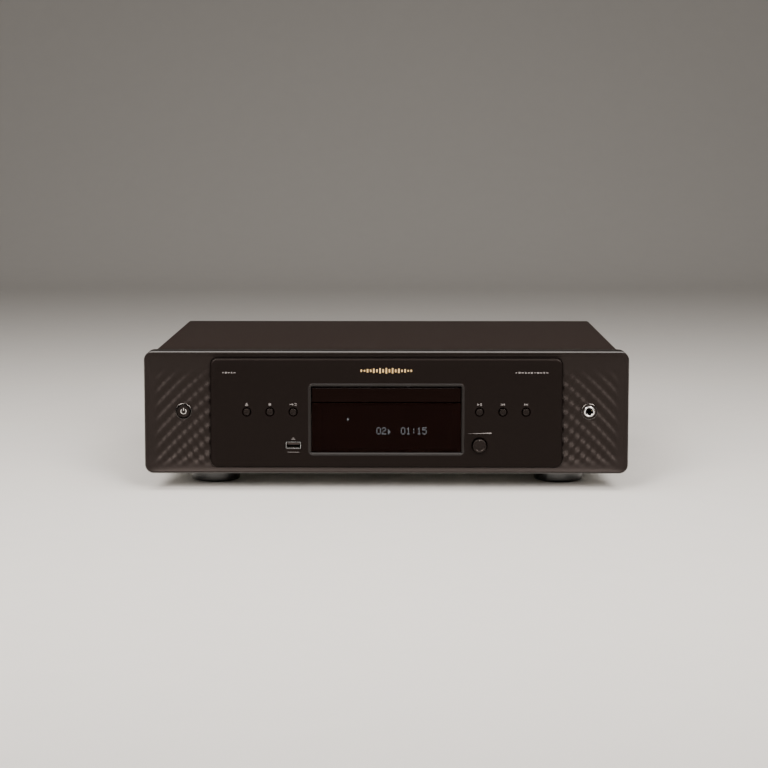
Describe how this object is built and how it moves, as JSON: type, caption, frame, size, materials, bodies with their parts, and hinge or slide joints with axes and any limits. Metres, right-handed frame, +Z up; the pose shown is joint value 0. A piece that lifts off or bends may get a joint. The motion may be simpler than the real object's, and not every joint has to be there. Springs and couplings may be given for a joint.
{
  "type": "cd player",
  "caption": "Full-width front-loading disc player with a dished textured front, raised centre plate, tray, display window, keys, level knob and rear sockets.",
  "frame": {"origin": "bottom centre of the bounding box, on the surface the feet stand on", "axes": "+X to the right seen from the front, +Y towards the rear, +Z up; the front faces -Y"},
  "size_m": [0.442, 0.379, 0.128],
  "materials": {
    "textured_plastic": "satin, moulded texture",
    "anodised_aluminium": "satin black anodised",
    "smoked_window": "polished",
    "gloss_black": "polished",
    "black_plastic": "moulded",
    "painted_steel": "fine textured paint",
    "plated_steel": "zinc plated",
    "steel": "ground",
    "chrome": "polished",
    "gold": "gold plated",
    "felt": "felt",
    "circuit_board": "solder mask",
    "component_black": "sleeved",
    "winding": "taped winding",
    "mechanism_plastic": "moulded",
    "gear_plastic": "moulded, natural",
    "belt_rubber": "matt",
    "flat_cable": "insulated"
  },
  "bodies": {
    "case": {"front_bezel": "textured_plastic", "front_plate": "anodised_aluminium", "display_lens": "smoked_window", "display_panel": "gloss_black", "top_cover": "painted_steel", "chassis_base": "plated_steel", "rear_panel": "painted_steel", "inner_front": "plated_steel", "foot_front_left": "gloss_black", "foot_front_right": "gloss_black", "foot_rear_left": "gloss_black", "foot_rear_right": "gloss_black", "foot_pads": "felt", "foot_screws": "steel", "case_screws": "steel", "trim_rings": "chrome", "phones_level_control": "black_plastic", "phones_socket": "chrome", "usb_shell": "steel", "usb_tongue": "black_plastic", "control_board": "circuit_board", "key_switches": "black_plastic", "ribbon_cable": "flat_cable", "main_board": "circuit_board", "power_board": "circuit_board", "transformer": "winding", "transformer_clamp": "plated_steel", "capacitors": "component_black", "mains_inlet": "black_plastic", "mains_wires": "flat_cable", "phono_sockets": "gold", "optical_socket": "black_plastic", "remote_sockets": "black_plastic", "mechanism_stand": "plated_steel", "loader_chassis": "mechanism_plastic", "loader_motor": "steel", "drive_belt": "belt_rubber", "clamp_bridge": "plated_steel"},
    "tray": {"disc_tray": "mechanism_plastic", "tray_door": "gloss_black"},
    "tray_gear": {"tray_gear": "gear_plastic"},
    "pulley_gear": {"pulley_gear": "gear_plastic"},
    "motor_pulley": {"motor_pulley": "gear_plastic"},
    "traverse": {"traverse_frame": "plated_steel", "guide_rods": "steel", "traverse_motors": "steel"},
    "pickup": {"optical_pickup": "mechanism_plastic"},
    "sled_gear": {"sled_gear": "gear_plastic"},
    "turntable": {"turntable": "mechanism_plastic"},
    "clamp": {"clamp_puck": "mechanism_plastic"},
    "level_knob": {"phones_level_knob": "anodised_aluminium"},
    "power_button": {"power_button": "black_plastic"},
    "remote_switch": {"remote_switch": "black_plastic"},
    "optical_flap": {"optical_flap": "black_plastic"},
    "open_close_button": {"open_close_button": "black_plastic"},
    "stop_button": {"stop_button": "black_plastic"},
    "input_button": {"input_button": "black_plastic"},
    "play_pause_button": {"play_pause_button": "black_plastic"},
    "skip_back_button": {"skip_back_button": "black_plastic"},
    "skip_forward_button": {"skip_forward_button": "black_plastic"}
  },
  "joints": [
    {"name": "tray_slide", "type": "slide", "parent": "case", "child": "tray", "axis": [0, -1, 0], "range_m": [0, 0.14]},
    {"name": "tray_gear_spin", "type": "hinge", "parent": "case", "child": "tray_gear", "pos_m": [-0.0425, -0.144, 0.078], "axis": [0, 0, 1], "range_deg": [0, 900]},
    {"name": "pulley_gear_spin", "type": "hinge", "parent": "case", "child": "pulley_gear", "pos_m": [-0.0255, -0.144, 0.072], "axis": [0, 0, -1], "range_deg": [0, 1020]},
    {"name": "motor_pulley_spin", "type": "hinge", "parent": "case", "child": "motor_pulley", "pos_m": [0.02, -0.144, 0.0702], "axis": [0, 0, -1], "range_deg": [0, 3120]},
    {"name": "traverse_tilt", "type": "hinge", "parent": "case", "child": "traverse", "pos_m": [0, 0.006, 0.075], "axis": [1, 0, 0], "range_deg": [0, 3.5]},
    {"name": "pickup_slide", "type": "slide", "parent": "traverse", "child": "pickup", "axis": [0, 1, 0], "range_m": [0, 0.033]},
    {"name": "sled_gear_spin", "type": "hinge", "parent": "traverse", "child": "sled_gear", "pos_m": [-0.0314, -0.058, 0.082], "axis": [0, 0, 1], "range_deg": [0, 300]},
    {"name": "turntable_spin", "type": "hinge", "parent": "traverse", "child": "turntable", "pos_m": [0, -0.111, 0.085], "axis": [0, 0, 1], "continuous": true},
    {"name": "clamp_spin", "type": "hinge", "parent": "case", "child": "clamp", "pos_m": [0, -0.111, 0.098], "axis": [0, 0, 1], "continuous": true},
    {"name": "level_knob_turn", "type": "hinge", "parent": "case", "child": "level_knob", "pos_m": [0.085, -0.175, 0.0422], "axis": [0, -1, 0], "range_deg": [-150, 150]},
    {"name": "power_button_press", "type": "slide", "parent": "case", "child": "power_button", "axis": [0, 1, 0], "range_m": [0, 0.0008], "stiffness_N_per_m": 400},
    {"name": "remote_switch_slide", "type": "slide", "parent": "case", "child": "remote_switch", "axis": [1, 0, 0], "range_m": [0, 0.004]},
    {"name": "optical_flap_swing", "type": "hinge", "parent": "case", "child": "optical_flap", "pos_m": [0.084, 0.179, 0.0496], "axis": [-1, 0, 0], "range_deg": [0, 85], "stiffness_Nm_per_rad": 0.0005},
    {"name": "open_close_press", "type": "slide", "parent": "case", "child": "open_close_button", "axis": [0, 1, 0], "range_m": [0, 0.0008], "stiffness_N_per_m": 250},
    {"name": "stop_press", "type": "slide", "parent": "case", "child": "stop_button", "axis": [0, 1, 0], "range_m": [0, 0.0008], "stiffness_N_per_m": 250},
    {"name": "input_press", "type": "slide", "parent": "case", "child": "input_button", "axis": [0, 1, 0], "range_m": [0, 0.0008], "stiffness_N_per_m": 250},
    {"name": "play_pause_press", "type": "slide", "parent": "case", "child": "play_pause_button", "axis": [0, 1, 0], "range_m": [0, 0.0008], "stiffness_N_per_m": 250},
    {"name": "skip_back_press", "type": "slide", "parent": "case", "child": "skip_back_button", "axis": [0, 1, 0], "range_m": [0, 0.0008], "stiffness_N_per_m": 250},
    {"name": "skip_forward_press", "type": "slide", "parent": "case", "child": "skip_forward_button", "axis": [0, 1, 0], "range_m": [0, 0.0008], "stiffness_N_per_m": 250}
  ],
  "couplings": [
    {"joint": "tray_gear_spin", "follows": "tray_slide", "rad_per_m": 111.11},
    {"joint": "pulley_gear_spin", "follows": "tray_slide", "rad_per_m": 125},
    {"joint": "motor_pulley_spin", "follows": "tray_slide", "rad_per_m": 383.98},
    {"joint": "sled_gear_spin", "follows": "pickup_slide", "rad_per_m": 156.25},
    {"joint": "clamp_spin", "follows": "turntable_spin", "ratio": 1}
  ]
}
